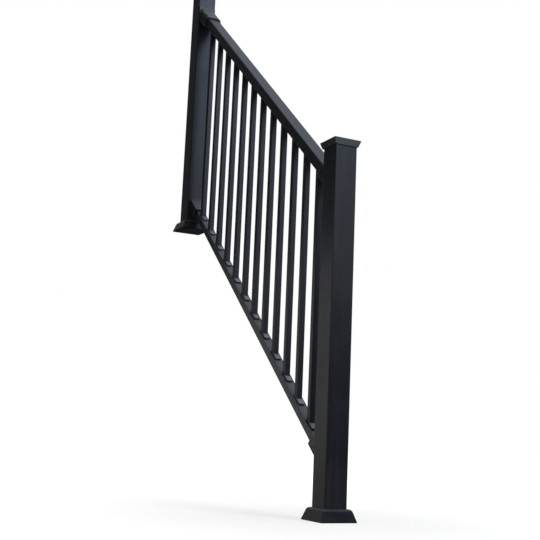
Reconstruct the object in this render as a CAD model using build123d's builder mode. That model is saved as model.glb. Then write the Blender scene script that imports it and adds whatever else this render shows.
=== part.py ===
# A bay of metal stair railing: two square posts on bolted base plates, a sloping top rail
# and bottom rail held in sockets on the posts, and upright square balusters that stand on
# angled feet along the bottom rail and pass up into the top rail.
# Millimetres. The origin is the centre of the lower base plate's underside, +X runs level
# up the flight and +Z is up.

import os
from math import cos, radians, sin, tan

from build123d import *

os.makedirs("parts", exist_ok=True)

# Layout of the bay
post_run = 1232.0  # between the post centres, measured level
rail_pitch = 40.6  # slope of the flight in degrees
landing_step = 24.0  # upper base above the sloping line through the lower base
top_rail_height = 1040.0  # top of the top rail above the origin, on the lower post's axis
bottom_rail_height = 176.0  # top of the bottom rail, taken the same way
baluster_count = 12
baluster_end_gap = 128.0  # from a post's centre to the nearest baluster's, measured level

# Post tube
post_side = 76.0
post_wall = 3.0
post_corner = 3.0
post_reveal = 109.0  # end of the tube above the top rail, on the lower post's axis

# Base plate
plate_side = 106.0
plate_thickness = 10.0
plate_corner = 6.0
bolt_hole_diameter = 10.0
bolt_hole_spacing = 88.0

# Base cover, a flared skirt round the foot of the post
cover_foot = 120.0  # width across the foot
cover_lip = 3.0  # plain upright band at the foot
cover_top = 96.0  # width that the flare would reach at the top
cover_shoulder = 12.0  # radius that rounds the flare into the top
cover_height = 38.0
cover_wall = 2.5

# Post cap, flaring out to its rim under a shallow hipped top
cap_foot = 82.0
cap_rim = 94.0
cap_foot_drop = 13.5  # lower edge of the cap below the end of the tube
cap_rim_rise = 6.5  # rim above the end of the tube
cap_rim_band = 2.0  # upright band round the rim
cap_peak_rise = 6.0  # peak of the hipped top above the rim

# Top rail extrusion
top_rail_width = 55.0
top_rail_depth = 34.0
top_rail_crown = 9.0  # radius of the upper edges
top_rail_edge = 2.0  # radius of the lower edges
top_rail_wall = 2.2

# Bottom rail extrusion, with a shallow tray between two lips along its top
bottom_rail_width = 36.0
bottom_rail_depth = 26.0
bottom_rail_edge = 2.0
bottom_rail_wall = 2.2
tray_lip = 2.6
tray_depth = 1.6

# Balusters
baluster_side = 19.0
baluster_wall = 1.6
baluster_corner = 1.2
baluster_entry = 20.0  # height of the baluster's end above the top rail's underside

# Angled baluster feet
foot_width = 22.0
foot_thickness = 6.0
foot_toe = 20.0  # reach down the slope in front of the baluster
foot_heel = 3.0  # reach up the slope behind the baluster
foot_toe_corner = 4.0
foot_edge = 1.2
plug_length = 30.0  # upright plug inside the baluster

# Rail sockets on the posts
socket_wall = 6.0
lower_top_socket_reach = 40.0  # level reach from the post face, on the rail's axis
upper_top_socket_reach = 76.0  # longer, so that the rail's upper end can be set by sliding it in
bottom_socket_reach = 50.0
flange_thickness = 6.0
flange_lip = 3.0  # flange beyond the socket all round
flange_corner = 3.0
flange_edge = 1.5

# Clearance between pieces that slide into one another
fit_gap = 0.3

pitch = radians(rail_pitch)
along = Vector(cos(pitch), 0, sin(pitch))
upward = Vector(-sin(pitch), 0, cos(pitch))
landing_rise = post_run * tan(pitch) + landing_step
post_top = top_rail_height + post_reveal
baluster_spacing = (post_run - 2 * baluster_end_gap) / (baluster_count - 1)
stations = [baluster_end_gap + index * baluster_spacing for index in range(baluster_count)]
post_faces = {"lower": post_side / 2, "upper": post_run - post_side / 2}
top_socket_reaches = {"lower": lower_top_socket_reach, "upper": upper_top_socket_reach}
post_bases = {"lower": Plane((0, 0, 0)), "upper": Plane((post_run, 0, landing_rise))}


def save(piece, name):
    """Label a finished piece and write it."""
    piece.label = name
    export_step(piece, f"parts/{name}.step")


def on_slope(height, x):
    """The point at x on a sloping line that passes the lower post's axis at a height."""
    return Vector(x, 0, height + x * tan(pitch))


def square_to_rail(height, x):
    """A plane square to the rails, with its local Y up and its origin on the rail's top."""
    return Plane(on_slope(height, x), x_dir=(0, 1, 0), z_dir=along)


def top_rail_outline(growth=0.0):
    """Outside of the top rail's section, with round upper edges, or the same drawn larger all round."""
    with BuildSketch() as outline:
        with Locations((0, -top_rail_depth / 2)):
            Rectangle(top_rail_width + 2 * growth, top_rail_depth + 2 * growth)
        fillet(outline.vertices().group_by(Axis.Y)[-1], top_rail_crown + growth)
        fillet(outline.vertices().group_by(Axis.Y)[0], top_rail_edge)
    return outline.sketch


def bottom_rail_outline(growth=0.0):
    """Outside of the bottom rail's section, or the same drawn larger all round."""
    with BuildSketch() as outline:
        with Locations((0, -bottom_rail_depth / 2)):
            RectangleRounded(
                bottom_rail_width + 2 * growth, bottom_rail_depth + 2 * growth, bottom_rail_edge
            )
    return outline.sketch


def cover_outline(inset):
    """Side view of the base cover, drawn in by an inset from its outer surface."""
    half_foot = cover_foot / 2 - inset
    half_top = cover_top / 2 - inset
    height = cover_height - inset
    with BuildSketch() as outline:
        with BuildLine():
            Polyline(
                (-half_foot, 0),
                (half_foot, 0),
                (half_foot, cover_lip),
                (half_top, height),
                (-half_top, height),
                (-half_foot, cover_lip),
                close=True,
            )
        make_face()
        fillet(outline.vertices().group_by(Axis.Y)[-1], cover_shoulder - inset)
    return outline.sketch


def cap_outline():
    """Side view of the cap, from its lower edge to its peak."""
    rim_top = post_top + cap_rim_rise
    with BuildSketch() as outline:
        with BuildLine():
            Polyline(
                (0, post_top - cap_foot_drop),
                (cap_foot / 2, post_top - cap_foot_drop),
                (cap_rim / 2, rim_top - cap_rim_band),
                (cap_rim / 2, rim_top),
                (0, rim_top + cap_peak_rise),
                close=True,
            )
        make_face()
        mirror(about=Plane.YZ)
    return outline.sketch


def squared(outline, base, width):
    """A solid over a base plane that shows one outline from the front and from the side."""
    with BuildPart() as form:
        for view, mode in ((Plane.XZ, Mode.ADD), (Plane.YZ, Mode.INTERSECT)):
            placed = Plane(base.origin, x_dir=view.x_dir, z_dir=view.z_dir)
            with BuildSketch(placed.offset(-width)):
                add(outline)
            extrude(amount=2 * width, mode=mode)
    return form.part


# Posts, with the plate under each, the skirt round its foot and the cap on its end
post_opening = post_side + 2 * fit_gap
for end, base in post_bases.items():
    with BuildPart() as plate:
        with BuildSketch(base):
            RectangleRounded(plate_side, plate_side, plate_corner)
            with GridLocations(bolt_hole_spacing, bolt_hole_spacing, 2, 2):
                Circle(bolt_hole_diameter / 2, mode=Mode.SUBTRACT)
        extrude(amount=plate_thickness)
    save(plate.part, f"{end}_base_plate")

    with BuildPart() as post:
        with BuildSketch(base.offset(plate_thickness)):
            RectangleRounded(post_side, post_side, post_corner)
            offset(amount=-post_wall, mode=Mode.SUBTRACT)
        extrude(amount=post_top - plate_thickness)
    save(post.part, f"{end}_post")

    with BuildPart() as cover:
        add(squared(cover_outline(0), base, cover_foot))
        add(squared(cover_outline(cover_wall), base, cover_foot), mode=Mode.SUBTRACT)
        with BuildSketch(base):
            Rectangle(post_opening, post_opening)
        extrude(amount=cover_height, mode=Mode.SUBTRACT)
    save(cover.part, f"{end}_base_cover")

    with BuildPart() as cap:
        add(squared(cap_outline(), base, cap_rim))
        with BuildSketch(base.offset(post_top - cap_foot_drop)):
            Rectangle(post_opening, post_opening)
        extrude(amount=cap_foot_drop, mode=Mode.SUBTRACT)
    save(cap.part, f"{end}_post_cap")

# Rails, cut plumb where they meet the socket flanges
rail_stock = post_run / cos(pitch)
rail_ends = (
    Plane.YZ.offset(post_faces["lower"] + flange_thickness + fit_gap),
    Plane.YZ.offset(post_faces["upper"] - flange_thickness - fit_gap),
)

with BuildPart() as top_rail:
    with BuildSketch(square_to_rail(top_rail_height, 0)):
        add(top_rail_outline())
        offset(amount=-top_rail_wall, mode=Mode.SUBTRACT)
    extrude(amount=rail_stock)
    split(bisect_by=rail_ends[0], keep=Keep.TOP)
    split(bisect_by=rail_ends[1], keep=Keep.BOTTOM)
    # Square holes punched through the lower wall for the balusters
    underside = top_rail_height - top_rail_depth / cos(pitch)
    hole_side = baluster_side + 2 * fit_gap
    hole_planes = [Plane(on_slope(underside, x) - (0, 0, baluster_side)) for x in stations]
    with BuildSketch(*hole_planes):
        Rectangle(hole_side, hole_side)
    extrude(amount=baluster_side + baluster_entry, mode=Mode.SUBTRACT)
save(top_rail.part, "top_rail")

with BuildPart() as bottom_rail:
    with BuildSketch(square_to_rail(bottom_rail_height, 0)):
        add(bottom_rail_outline())
        with Locations((0, -tray_depth / 2)):
            Rectangle(bottom_rail_width - 2 * tray_lip, tray_depth, mode=Mode.SUBTRACT)
        with Locations((0, -(bottom_rail_depth + tray_depth) / 2)):
            Rectangle(
                bottom_rail_width - 2 * bottom_rail_wall,
                bottom_rail_depth - tray_depth - 2 * bottom_rail_wall,
                mode=Mode.SUBTRACT,
            )
    extrude(amount=rail_stock)
    split(bisect_by=rail_ends[0], keep=Keep.TOP)
    split(bisect_by=rail_ends[1], keep=Keep.BOTTOM)
save(bottom_rail.part, "bottom_rail")


# Sockets: a flange on the post's face and a sleeve square to the slope round the rail's end
def rail_bracket(end, height, width, depth, outline, reach):
    """One socket on the lower or the upper post, open towards the middle of the bay."""
    face = post_faces[end]
    outward = 1 if end == "lower" else -1
    outer_side = Keep.TOP if outward > 0 else Keep.BOTTOM
    mouth = square_to_rail(height, face + outward * reach - depth / 2 * sin(pitch))
    sleeve_length = -outward * (reach + depth) / cos(pitch)
    growth = fit_gap + socket_wall
    flange_width = width + 2 * (growth + flange_lip)
    flange_height = (depth + 2 * growth) / cos(pitch) + 2 * flange_lip
    axis_height = on_slope(height, face).Z - depth / 2 / cos(pitch)

    with BuildPart() as bore:
        with BuildSketch(mouth):
            add(outline(fit_gap))
        extrude(amount=sleeve_length)
        split(bisect_by=Plane.YZ.offset(face + outward * flange_thickness), keep=outer_side)

    with BuildPart() as sleeve:
        with BuildSketch(mouth):
            add(outline(growth))
        extrude(amount=sleeve_length)
        split(bisect_by=Plane.YZ.offset(face), keep=outer_side)

    with BuildPart() as bracket:
        with BuildSketch(Plane.YZ.offset(face)):
            with Locations((0, axis_height)):
                RectangleRounded(flange_width, flange_height, flange_corner)
        extrude(amount=outward * flange_thickness)
        front = bracket.faces().sort_by(Axis((0, 0, 0), (outward, 0, 0)))[-1]
        chamfer(front.edges(), flange_edge)
        add(sleeve.part)
        add(bore.part, mode=Mode.SUBTRACT)
    return bracket.part


for end in post_faces:
    top_bracket = rail_bracket(
        end, top_rail_height, top_rail_width, top_rail_depth, top_rail_outline, top_socket_reaches[end]
    )
    save(top_bracket, f"top_rail_{end}_bracket")
    bottom_bracket = rail_bracket(
        end,
        bottom_rail_height,
        bottom_rail_width,
        bottom_rail_depth,
        bottom_rail_outline,
        bottom_socket_reach,
    )
    save(bottom_bracket, f"bottom_rail_{end}_bracket")

# Balusters, each cut to the slope at its foot, over the plug of an angled foot in the tray
tray_height = bottom_rail_height - tray_depth / cos(pitch)
foot_top_height = tray_height + foot_thickness / cos(pitch)
baluster_top_height = underside + baluster_entry
plug_side = baluster_side - 2 * baluster_wall - 2 * fit_gap
toe_end = -baluster_side / 2 / cos(pitch) - foot_toe
heel_end = baluster_side / 2 / cos(pitch) + foot_heel
for number, x in enumerate(stations, start=1):
    tray = Plane(on_slope(tray_height, x), x_dir=along, z_dir=upward)
    with BuildPart() as foot:
        with BuildSketch(tray) as sole:
            with Locations(((toe_end + heel_end) / 2, 0)):
                Rectangle(heel_end - toe_end, foot_width)
            fillet(sole.vertices().group_by(Axis.X)[0], foot_toe_corner)
        extrude(amount=foot_thickness)
        chamfer(foot.faces().sort_by(Axis(tray.origin, tray.z_dir))[-1].edges(), foot_edge)
        with BuildSketch(tray):
            Rectangle(plug_side / cos(pitch), plug_side)
        extrude(amount=foot_thickness / cos(pitch) + plug_length, dir=(0, 0, 1))
    save(foot.part, f"baluster_foot_{number:02d}")

    foot_top = Plane(on_slope(foot_top_height, x), x_dir=along, z_dir=upward)
    start = on_slope(foot_top_height, x) - (0, 0, baluster_side * tan(pitch))
    with BuildPart() as baluster:
        with BuildSketch(Plane(start)):
            RectangleRounded(baluster_side, baluster_side, baluster_corner)
            offset(amount=-baluster_wall, mode=Mode.SUBTRACT)
        extrude(amount=on_slope(baluster_top_height, x).Z - start.Z)
        split(bisect_by=foot_top, keep=Keep.TOP)
    save(baluster.part, f"baluster_{number:02d}")
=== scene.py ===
from math import pi, radians

import bpy
from mathutils import Matrix, Vector


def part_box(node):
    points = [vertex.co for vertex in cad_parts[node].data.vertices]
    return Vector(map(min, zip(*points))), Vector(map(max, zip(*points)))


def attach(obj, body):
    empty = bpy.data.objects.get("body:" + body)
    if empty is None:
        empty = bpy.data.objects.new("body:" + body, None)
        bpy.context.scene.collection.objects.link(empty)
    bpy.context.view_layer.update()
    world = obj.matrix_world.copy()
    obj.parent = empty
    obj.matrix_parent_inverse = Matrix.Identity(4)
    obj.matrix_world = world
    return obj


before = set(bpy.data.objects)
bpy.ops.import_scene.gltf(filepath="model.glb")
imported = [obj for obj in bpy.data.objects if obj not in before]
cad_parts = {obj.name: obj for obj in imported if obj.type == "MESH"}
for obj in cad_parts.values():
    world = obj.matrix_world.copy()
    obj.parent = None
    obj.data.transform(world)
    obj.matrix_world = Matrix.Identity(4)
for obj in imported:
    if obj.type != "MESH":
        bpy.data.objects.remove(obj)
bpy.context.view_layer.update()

# Base plates: flat aluminium plates under the posts, powder coated black all over.
# They are bolted down and show only from below, inside the base covers.
# Their coat is the thin, slightly rough one that the hidden pieces get.
ends = ("lower", "upper")


class Wire:
    """An output of a node, with operators that add Math nodes to its tree."""

    def __init__(self, tree, socket=None):
        self.tree = tree
        self.socket = socket

    def node(self, kind, settings=None, sockets=None, output=0):
        """Add any node: its settings first, then the values or wires of its sockets."""
        added = self.tree.nodes.new(kind)
        for name, value in (settings or {}).items():
            setattr(added, name, value)
        for name, value in (sockets or {}).items():
            if isinstance(value, Wire):
                self.tree.links.new(value.socket, added.inputs[name])
            else:
                added.inputs[name].default_value = value
        return Wire(self.tree, None if output is None else added.outputs[output])

    def feed(self, socket):
        """Lead this wire to a socket of a node that is already there."""
        self.tree.links.new(self.socket, socket)

    def math(self, operation, first, second=0.0):
        """Add a Math node on one or two values."""
        return self.node("ShaderNodeMath", {"operation": operation}, {0: first, 1: second})

    def __add__(self, other):
        return self.math("ADD", self, other)

    def __radd__(self, other):
        return self.math("ADD", other, self)

    def __sub__(self, other):
        return self.math("SUBTRACT", self, other)

    def __rsub__(self, other):
        return self.math("SUBTRACT", other, self)

    def __mul__(self, other):
        return self.math("MULTIPLY", self, other)

    def __rmul__(self, other):
        return self.math("MULTIPLY", other, self)

    def __truediv__(self, other):
        return self.math("DIVIDE", self, other)

    def __rtruediv__(self, other):
        return self.math("DIVIDE", other, self)

    def spread(self, start, full):
        """0 up to the start value, 1 from the full value on, and even between them."""
        return self.node(
            "ShaderNodeMapRange",
            {"clamp": True},
            {"Value": self, "From Min": start, "From Max": full},
        )


def noise_on(wire, place, waves, detail, stretch=(1, 1, 1)):
    """Noise in waves to a metre, drawn out along an axis where its stretch is under 1."""
    mapped = wire.node("ShaderNodeMapping", None, {"Vector": place, "Scale": stretch})
    return wire.node(
        "ShaderNodeTexNoise",
        None,
        {"Vector": mapped, "Scale": waves, "Detail": detail, "Roughness": 0.6},
    )


def blend_colour(wire, amount, first, second):
    """First colour where the amount is 0, second where it is 1."""
    # Sockets 6 and 7 and output 2 are the colour ones of a Mix node
    return wire.node(
        "ShaderNodeMix",
        {"data_type": "RGBA", "clamp_factor": True},
        {"Factor": amount, 6: first, 7: second},
        output=2,
    )


def shade(colour, factor, lift=0.0):
    """A colour made darker or paler, and opaque."""
    return tuple(channel * factor + lift for channel in colour) + (1.0,)


def powder_coat(name, colour, roughness, streaks, dust, wear, grain=1.0, sheen=0.2):
    """Baked black powder coat: fine grain, faint rain runs, dust and a painted highlight on top,
    thin coat at edges.
    """
    material = bpy.data.materials.new(name)
    material.use_nodes = True
    shader = material.node_tree.nodes["Principled BSDF"]
    wire = Wire(material.node_tree)
    place = wire.node("ShaderNodeTexCoord", output="Object")
    face = wire.node("ShaderNodeNewGeometry", output="Normal")
    upward = wire.node("ShaderNodeSeparateXYZ", None, {0: face}, output="Z")

    # Patches about a hand wide, long upright lines and fine specks
    cloud = noise_on(wire, place, waves=7.0, detail=4.0)
    lines = noise_on(wire, place, waves=70.0, detail=3.0, stretch=(1, 1, 0.05))
    specks = noise_on(wire, place, waves=420.0, detail=2.0)

    # Thin, slightly paler coat along the edges, broken up by the patches
    edge_width = 0.0011
    bevelled = wire.node("ShaderNodeBevel", {"samples": 4}, {"Radius": edge_width})
    agreement = wire.node(
        "ShaderNodeVectorMath", {"operation": "DOT_PRODUCT"}, {0: face, 1: bevelled}, output="Value"
    )
    lean = (1.0 - agreement).spread(start=0.02, full=0.22)
    edge = lean * cloud.spread(start=0.3, full=0.62)

    # Dust lies on what faces up, and where it is set heavy it is a painted sky highlight on the
    # tops; rain leaves faint upright runs on what faces sideways
    facing_up = upward.spread(start=0.25, full=0.9)
    speckled = 0.35 + 0.65 * specks.spread(start=0.35, full=0.7)
    dust_and_highlight_film = facing_up * speckled * cloud.spread(start=0.2, full=0.75) * dust
    facing_out = 1.0 - upward.spread(start=0.2, full=0.6)
    runs = facing_out * lines.spread(start=0.45, full=0.75) * streaks

    thick_coat = shade(colour, 0.7)
    thin_coat = shade(colour, 1.35)
    worn_coat = shade(colour, 2.2, lift=0.012)
    dried_rain = (0.085, 0.084, 0.082, 1.0)
    # pale grey of dust, which also paints the highlight on upward faces
    dust_and_highlight_grey = (0.2, 0.2, 0.205, 1.0)
    base = blend_colour(wire, cloud.spread(start=0.3, full=0.7), thick_coat, thin_coat)
    base = blend_colour(wire, runs, base, dried_rain)
    base = blend_colour(wire, dust_and_highlight_film, base, dust_and_highlight_grey)
    base = blend_colour(wire, edge * wear, base, worn_coat)
    base.feed(shader.inputs["Base Color"])

    # The bake is uneven, and dust and dried rain take some of the gloss away
    uneven = roughness + 0.3 * (cloud - 0.5)
    dulled = uneven + 0.12 * dust_and_highlight_film + 0.2 * runs + 0.1 * (specks - 0.5)
    dulled.feed(shader.inputs["Roughness"])

    # Orange peel, with the powder's own grain on it
    peel = noise_on(wire, place, waves=260.0, detail=1.0)
    powder = noise_on(wire, place, waves=1500.0, detail=2.0)
    relief_depth = 0.0006
    relief = wire.node(
        "ShaderNodeBump",
        None,
        {
            "Strength": 0.28 * grain,
            "Distance": relief_depth,
            "Height": 0.6 * peel + 0.4 * powder,
            "Normal": bevelled,
        },
    )
    relief.feed(shader.inputs["Normal"])
    shader.inputs["Specular IOR Level"].default_value = sheen
    return material


def finish(material, *names):
    """Give CAD nodes their finish."""
    for name in names:
        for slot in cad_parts[name].material_slots:
            slot.material = material


plate_coat = powder_coat(
    "base_plate_coat", (0.009, 0.009, 0.0105), roughness=0.55, streaks=0.0, dust=0.0, wear=0.8
)
finish(plate_coat, *(f"{end}_base_plate" for end in ends))

# Posts: square aluminium tubes, extruded, cut to length and powder coated satin black.
# Years outdoors have left faint rain runs down the faces and a thinner coat on the corners.
post_coat = powder_coat(
    "post_powder_coat", (0.0086, 0.0091, 0.0112), roughness=0.42, streaks=0.09, dust=0.1, wear=0.7
)
finish(post_coat, *(f"{end}_post" for end in ends))

# Base covers: flared skirts of thin cast aluminium that slide down over the posts' feet.
# They catch splashes and grit, so their shoulders carry more dust than the posts; that heavy dust
# film is also a painted sky highlight on the shoulders, and their coat colour is set darker than
# the posts' as painted shade at the posts' feet.
cover_coat = powder_coat(
    "base_cover_coat",
    (0.0052, 0.005, 0.0058),
    roughness=0.4,
    streaks=0.06,
    dust=1.0,
    wear=0.9,
    sheen=0.08,
)
finish(cover_coat, *(f"{end}_base_cover" for end in ends))

# Post caps: cast aluminium, flaring out to a rim, pressed over the ends of the tubes.
# Their coat is a little smoother than the posts', with rubbed corners.
cap_coat = powder_coat(
    "post_cap_coat",
    (0.0105, 0.0108, 0.0135),
    roughness=0.36,
    streaks=0.05,
    dust=0.15,
    wear=1.0,
    sheen=0.45,
)
finish(cap_coat, *(f"{end}_post_cap" for end in ends))

# Rail sockets: cast aluminium brackets on the posts that the rails slide into.
# A rough casting under the coat shows as coarser grain than on the tubes, and holds dust; the heavy
# dust film on their tops is partly a painted highlight.
socket_coat = powder_coat(
    "rail_socket_coat",
    (0.0088, 0.009, 0.0115),
    roughness=0.44,
    streaks=0.04,
    dust=0.85,
    wear=0.9,
    grain=1.6,
    sheen=0.3,
)
sockets = [(rail, end) for rail in ("top", "bottom") for end in ends]
finish(socket_coat, *(f"{rail}_rail_{end}_bracket" for rail, end in sockets))

# Sleeve screws: steel button heads, coated black, driven through the sides of each socket
# to pin the end of the rail. A long socket has two a side, and a short one has one.
# Each head has a hexagon recess and stays at whatever turn the driver left it.
screw_sizes = {
    "Head Radius": 0.0048,
    "Head Height": 0.0034,
    "Recess Radius": 0.0021,
    "Recess Depth": 0.0018,
}
head_sides = 28
head_rings = 5
dome_fall = 0.62  # share of the head's area that the dome has lost at its top
screw_seed = 7
first_screw = 0.023  # from the post's face, along the level
screw_spacing = 0.026
mouth_margin = 0.030  # every screw is further than this from the socket's far end
flange_lip = 0.003  # flange beyond the side of the sleeve


def foot_corner(number):
    """Lowest corner of a baluster's foot, counted from the lower post."""
    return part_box(f"baluster_foot_{number:02d}")[0]


climb = foot_corner(12) - foot_corner(1)
rail_slope = climb.z / climb.x


def screw_seats(rail, end):
    """Places on both sides of a sleeve, along the axis of its rail, and the way each faces."""
    low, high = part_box(f"{rail}_rail_{end}_bracket")
    rail_low, rail_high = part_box(f"{rail}_rail")
    rail_middle = (rail_low + rail_high) / 2
    seats = []
    distance = first_screw
    while distance < high.x - low.x - mouth_margin:
        x = low.x + distance if end == "lower" else high.x - distance
        z = rail_middle.z + rail_slope * (x - rail_middle.x)
        for side in (-1, 1):
            seats.append(((x, side * (high.y - flange_lip), z), (0.0, side, 0.0)))
        distance += screw_spacing
    return seats


seats = [seat for rail, end in sockets for seat in screw_seats(rail, end)]
seat_mesh = bpy.data.meshes.new("sleeve_screw_seats")
seat_mesh.from_pydata([place for place, facing in seats], [], [])
facings = seat_mesh.attributes.new("facing", "FLOAT_VECTOR", "POINT")
facings.data.foreach_set("vector", [value for place, facing in seats for value in facing])
seat_points = bpy.data.objects.new("sleeve_screw_seats", seat_mesh)
bpy.context.scene.collection.objects.link(seat_points)

screw_coat = powder_coat(
    "screw_coat", (0.012, 0.012, 0.0135), roughness=0.38, streaks=0.0, dust=0.1, wear=1.0
)
screw_tree = bpy.data.node_groups.new("sleeve_screws", "GeometryNodeTree")
screw_ports = screw_tree.interface
screw_ports.new_socket("Seats", in_out="INPUT", socket_type="NodeSocketGeometry")
screw_ports.new_socket("Screws", in_out="OUTPUT", socket_type="NodeSocketGeometry")
screw_inputs = {}
for size_name in screw_sizes:
    port = screw_ports.new_socket(size_name, in_out="INPUT", socket_type="NodeSocketFloat")
    screw_inputs[size_name] = port.identifier

screw = Wire(screw_tree)
points = screw.node("NodeGroupInput", output="Seats")
head_radius, head_height, recess_radius, recess_depth = (
    screw.node("NodeGroupInput", output=size_name) for size_name in screw_sizes
)

# A short drum that is drawn in towards its top makes the button, and a hexagon is sunk in it
drum = screw.node(
    "GeometryNodeMeshCylinder",
    {"fill_type": "NGON"},
    {
        "Vertices": head_sides,
        "Side Segments": head_rings,
        "Radius": head_radius,
        "Depth": head_height,
    },
    output="Mesh",
)
spot = screw.node("GeometryNodeInputPosition")
rise = screw.node("ShaderNodeSeparateXYZ", None, {0: spot}, output="Z") + 0.5 * head_height
share = rise / head_height
taper = screw.math("SQRT", 1.0 - dome_fall * share * share)
drawn_in = screw.node("ShaderNodeCombineXYZ", None, {"X": taper, "Y": taper, "Z": 1.0})
domed = screw.node("ShaderNodeVectorMath", {"operation": "MULTIPLY"}, {0: spot, 1: drawn_in})
lift = screw.node("ShaderNodeCombineXYZ", None, {"Z": 0.5 * head_height})
seated = screw.node("ShaderNodeVectorMath", {"operation": "ADD"}, {0: domed, 1: lift})
button = screw.node("GeometryNodeSetPosition", None, {"Geometry": drum, "Position": seated})
hexagon = screw.node(
    "GeometryNodeMeshCylinder",
    {"fill_type": "NGON"},
    {"Vertices": 6, "Radius": recess_radius, "Depth": 2.0 * recess_depth},
    output="Mesh",
)
head_top = screw.node("ShaderNodeCombineXYZ", None, {"Z": head_height})
sunk = screw.node("GeometryNodeTransform", None, {"Geometry": hexagon, "Translation": head_top})
head = screw.node(
    "GeometryNodeMeshBoolean", {"operation": "DIFFERENCE"}, {"Mesh 1": button, "Mesh 2": sunk}
)

# Each head looks out from its seat, at its own turn
facing = screw.node(
    "GeometryNodeInputNamedAttribute", {"data_type": "FLOAT_VECTOR"}, {"Name": "facing"}
)
upright = screw.node("FunctionNodeAlignRotationToVector", {"axis": "Z"}, {"Vector": facing})
turn = screw.node(
    "FunctionNodeRandomValue",
    {"data_type": "FLOAT"},
    {2: 0.0, 3: 2.0 * pi, "Seed": screw_seed},  # 2 and 3 are the least and the most
    output=1,
)
spin = screw.node(
    "FunctionNodeAxisAngleToRotation", None, {"Axis": (0.0, 0.0, 1.0), "Angle": turn}
)
aimed = screw.node(
    "FunctionNodeRotateRotation",
    {"rotation_space": "LOCAL"},
    {"Rotation": upright, "Rotate By": spin},
)
driven = screw.node(
    "GeometryNodeInstanceOnPoints", None, {"Points": points, "Instance": head, "Rotation": aimed}
)
solid = screw.node("GeometryNodeRealizeInstances", None, {"Geometry": driven})
coated = screw.node("GeometryNodeSetMaterial", None, {"Geometry": solid, "Material": screw_coat})
screw.node("NodeGroupOutput", None, {"Screws": coated}, output=None)

drive = seat_points.modifiers.new("sleeve_screws", "NODES")
drive.node_group = screw_tree
for size_name, identifier in screw_inputs.items():
    drive[identifier] = screw_sizes[size_name]
evaluated = seat_points.evaluated_get(bpy.context.evaluated_depsgraph_get())
screw_mesh = bpy.data.meshes.new_from_object(evaluated)
seat_points.modifiers.remove(drive)
bpy.data.objects.remove(seat_points)
sleeve_screws = bpy.data.objects.new("sleeve_screws", screw_mesh)
bpy.context.scene.collection.objects.link(sleeve_screws)
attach(sleeve_screws, "root")

# Bottom rail: an aluminium extrusion with a shallow tray on top for the baluster feet.
# Dust and dried rain gather in the tray, whose heavy dust film is also a painted sky highlight, so
# it shows paler than the sides.
bottom_rail_coat = powder_coat(
    "bottom_rail_coat",
    (0.0108, 0.0105, 0.015),
    roughness=0.42,
    streaks=0.04,
    dust=0.62,
    wear=0.7,
    sheen=0.33,
)
finish(bottom_rail_coat, "bottom_rail")

# Baluster feet: moulded in black plastic with a matte, lightly sparked surface.
# Each is screwed into the tray before its baluster is pushed over the plug.
foot_plastic = powder_coat(
    "foot_plastic",
    (0.015, 0.0148, 0.018),
    roughness=0.4,
    streaks=0.0,
    # the heavy dust film is mostly a painted sky highlight on the tops of the toes
    dust=1.3,
    wear=0.5,
    grain=1.3,
    sheen=0.6,
)
foot_names = [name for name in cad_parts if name.startswith("baluster_foot")]
finish(foot_plastic, *foot_names)

# Balusters: slim square aluminium tubes that stand on the feet and run up into the top rail.
# They have the posts' coat, with a little less wear on their corners.
baluster_coat = powder_coat(
    "baluster_coat", (0.0098, 0.0094, 0.0132), roughness=0.42, streaks=0.08, dust=0.08, wear=0.6
)
finish(baluster_coat, *(name.replace("_foot", "") for name in foot_names))

# Top rail: a hollow aluminium extrusion with round upper edges, held at its ends.
# Hands keep its top smooth, and the sky side carries a thin film of dust.
top_rail_coat = powder_coat(
    "top_rail_coat", (0.0105, 0.0108, 0.0135), roughness=0.4, streaks=0.04, dust=0.15, wear=0.7
)
finish(top_rail_coat, "top_rail")

# Floor: a wide pale sheet under the lower post, plain and matte.
# It is white to the eye, apart from a soft pool round the post that takes the shadow.
floor_half = 30.0
shadow_pool = (0.3, 2.2)  # the pool is deepest inside the first radius and gone at the second
pool_white = 0.62
floor_lit = (0.6, 0.6, 0.6, 1.0)
floor_seen = (0.46, 0.42, 0.375, 1.0)
corner_signs = ((-1, -1), (1, -1), (1, 1), (-1, 1))


def flat_sheet(name, centre, across, along):
    """One flat face in the scene, given by its centre and its two half sides."""
    corners = [Vector(centre) + s * Vector(across) + t * Vector(along) for s, t in corner_signs]
    mesh = bpy.data.meshes.new(name)
    mesh.from_pydata(corners, [], [(0, 1, 2, 3)])
    sheet = bpy.data.objects.new(name, mesh)
    bpy.context.scene.collection.objects.link(sheet)
    return sheet


def matte_paint(name, sheet):
    """Put a paint with no gloss and a full glow on a sheet, its colours still to be set."""
    paint = bpy.data.materials.new(name)
    paint.use_nodes = True
    shader = paint.node_tree.nodes["Principled BSDF"]
    shader.inputs["Emission Strength"].default_value = 1.0
    shader.inputs["Roughness"].default_value = 1.0
    shader.inputs["Specular IOR Level"].default_value = 0.0
    sheet.data.materials.append(paint)
    return paint.node_tree, shader


def shown_to_eye(wire):
    """1 for camera, glossy and transmission rays, 0 for light on its way to other surfaces."""
    seen = wire.node("ShaderNodeLightPath", output="Is Camera Ray")
    mirrored = wire.node("ShaderNodeLightPath", output="Is Glossy Ray")
    through = wire.node("ShaderNodeLightPath", output="Is Transmission Ray")
    return wire.math("MAXIMUM", wire.math("MAXIMUM", seen, mirrored), through)


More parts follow.
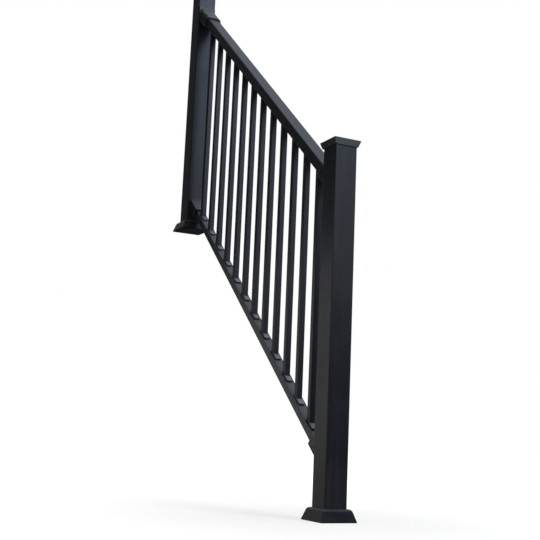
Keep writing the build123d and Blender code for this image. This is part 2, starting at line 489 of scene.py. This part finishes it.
floor = flat_sheet(
    "studio_floor", centre=(0, 0, 0), across=(floor_half, 0, 0), along=(0, floor_half, 0)
)
floor_tree, floor_shader = matte_paint("studio_floor_paint", floor)
floor_wire = Wire(floor_tree)
floor_place = floor_wire.node("ShaderNodeTexCoord", output="Object")
reach = floor_wire.node(
    "ShaderNodeVectorMath", {"operation": "LENGTH"}, {0: floor_place}, output="Value"
)
shown = shown_to_eye(floor_wire)
glow = shown * (pool_white + (1.0 - pool_white) * reach.spread(*shadow_pool))
glow.feed(floor_shader.inputs["Emission Color"])
floor_colour = blend_colour(floor_wire, shown, floor_lit, floor_seen)
floor_colour.feed(floor_shader.inputs["Base Color"])

# Light: a broad sky panel overhead and a cooler one in front, both soft.
# The world is white to the eye and in reflections, and a soft grey to other light.
world_fill = (0.3, 0.32, 0.36, 1.0)
world_white = (1.0, 1.0, 1.0, 1.0)
world = bpy.data.worlds.new("studio_world")
world.use_nodes = True
sky_wire = Wire(world.node_tree)
sky_colour = blend_colour(sky_wire, shown_to_eye(sky_wire), world_fill, world_white)
sky_colour.feed(world.node_tree.nodes["Background"].inputs["Color"])
bpy.context.scene.world = world
bpy.context.scene.view_settings.view_transform = "Standard"


def light_panel(name, place, aim, size, watts, colour):
    """A square soft light at a place, turned to face a point."""
    lamp = bpy.data.lights.new(name, "AREA")
    lamp.shape = "SQUARE"
    lamp.size = size
    lamp.energy = watts
    lamp.color = colour
    holder = bpy.data.objects.new(name, lamp)
    holder.location = place
    holder.rotation_euler = (Vector(aim) - Vector(place)).to_track_quat("-Z", "Y").to_euler()
    bpy.context.scene.collection.objects.link(holder)


railing_middle = (0.6, 0.0, 1.1)
light_panel(
    "sky_panel",
    place=(-0.5, -0.8, 6.0),
    aim=railing_middle,
    size=5.0,
    watts=160.0,
    colour=(0.9, 0.95, 1.0),
)
light_panel(
    "front_panel",
    place=(-5.5, -2.6, 5.6),
    aim=railing_middle,
    size=3.0,
    watts=205.0,
    colour=(0.57, 0.77, 1.0),
)

# Gloss cards: boards round the object that show only in the gloss of its coat.
# They keep its black faces black and its tops blue, as a studio's flags and fills do,
# and neither light it nor shade it.
black = (0.015, 0.015, 0.017)
night = (0.075, 0.08, 0.085)
dusk = (0.25, 0.25, 0.24)
sky_blue = (0.5, 0.57, 0.7)
day_blue = (2.2, 2.5, 3.2)
open_sky = (5.6, 6.2, 8.8)


def gloss_card(name, colour, centre, across, along):
    """A flat board of one colour, given by its centre and its two half sides."""
    board = flat_sheet(name, centre, across, along)
    shader = matte_paint(name, board)[1]
    shader.inputs["Base Color"].default_value = (0.0, 0.0, 0.0, 1.0)
    shader.inputs["Emission Color"].default_value = (*colour, 1.0)
    board.visible_camera = False
    board.visible_diffuse = False
    board.visible_transmission = False
    board.visible_shadow = False


# Beside the railing, for the faces that look across the slope
gloss_card(
    "side_card", night, centre=(2.6, 0.5, 3.48), across=(3.0, 0, 0), along=(0, 0, 2.5)
)
gloss_card(
    "side_card_floor", dusk, centre=(4.0, 1.14, 0.002), across=(4.6, 0, 0), along=(0, 1.06, 0)
)
gloss_card(
    "upper_side_card", night, centre=(2.7, 0.5, 0.6), across=(1.1, 0, 0), along=(0, 0, 0.38)
)

# In front of it, for the faces that look down the slope
gloss_card(
    "front_card", black, centre=(-0.6, -0.33, 0.35), across=(0.6, -1.03, 0), along=(0, 0, 0.35)
)
gloss_card(
    "front_card_floor", day_blue, centre=(-3.9, -2.3, 0.003), across=(1.6, 0, 0), along=(0, 1.6, 0)
)
gloss_card(
    "high_front_card",
    open_sky,
    centre=(-6.5, -3.2, 6.9),
    across=(0.8, -1.8, 0),
    along=(0.3, 0.13, 1.5),
)

# Just under the upper base cover, and over the whole railing
cover_gap = 0.003
cover_low, cover_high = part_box("upper_base_cover")
cover_middle = (cover_low + cover_high) / 2
cover_width = cover_high.x - cover_low.x
gloss_card(
    "upper_foot_card",
    night,
    centre=(cover_middle.x, cover_middle.y, cover_low.z - cover_gap),
    across=(cover_width, 0, 0),
    along=(0, cover_width, 0),
)
gloss_card(
    "overhead_card", sky_blue, centre=(3.0, -3.0, 9.0), across=(9.0, 0, 0), along=(0, 7.0, 0)
)

# Camera: low at the foot of the slope, on its left side, looking up along the railing.
# Place in metres, angles in degrees, lens and frame in millimetres.
camera_place = (-2.508, 1.4695, 0.247)
camera_heading = -26.342
camera_tilt = 9.646
camera_roll = 2.474
camera_lens = 63.99
camera_frame = 36.0
camera = bpy.data.cameras.new("photo_camera")
camera.sensor_width = camera_frame
camera.lens = camera_lens
viewpoint = bpy.data.objects.new("photo_camera", camera)
heading = Matrix.Rotation(radians(camera_heading - 90), 3, "Z")
tilt = Matrix.Rotation(radians(camera_tilt + 90), 3, "X")
roll = Matrix.Rotation(radians(camera_roll), 3, "Z")
viewpoint.matrix_world = Matrix.Translation(camera_place) @ (heading @ tilt @ roll).to_4x4()
bpy.context.scene.collection.objects.link(viewpoint)
bpy.context.scene.camera = viewpoint
